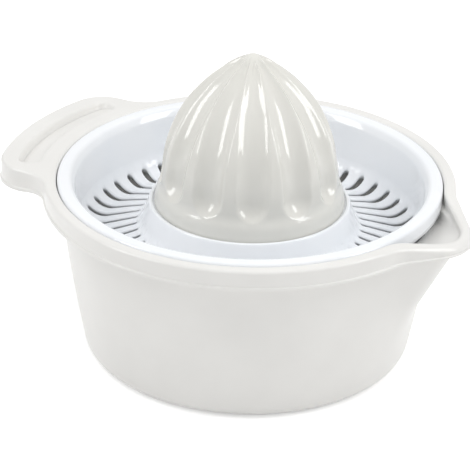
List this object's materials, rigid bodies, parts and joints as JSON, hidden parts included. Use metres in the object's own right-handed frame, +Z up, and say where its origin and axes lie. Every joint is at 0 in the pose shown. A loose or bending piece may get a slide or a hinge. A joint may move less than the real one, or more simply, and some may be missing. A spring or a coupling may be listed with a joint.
{
  "type": "hand citrus press",
  "caption": "Hand citrus press: a round bowl with a tab handle and pouring spout, a slotted strainer dish hung in its rim, and a fluted reamer cone on top.",
  "frame": {"origin": "centre of the bowl's base, on the plane it stands on", "axes": "+Z up along the bowl's axis, +X towards the pouring spout, the handle towards -X"},
  "size_m": [0.173, 0.1448, 0.1103],
  "materials": {
    "bowl": "satin off-white",
    "strainer": "gloss white",
    "reamer": "gloss off-white"
  },
  "bodies": {
    "bowl": {"bowl": "bowl"},
    "strainer": {"strainer": "strainer"},
    "reamer": {"reamer": "reamer"}
  },
  "joints": [
    {"name": "strainer_lift", "type": "slide", "parent": "bowl", "child": "strainer", "axis": [0, 0, 1], "range_m": [0, 0.06]},
    {"name": "reamer_lift", "type": "slide", "parent": "strainer", "child": "reamer", "axis": [0, 0, 1], "range_m": [0, 0.04]}
  ]
}
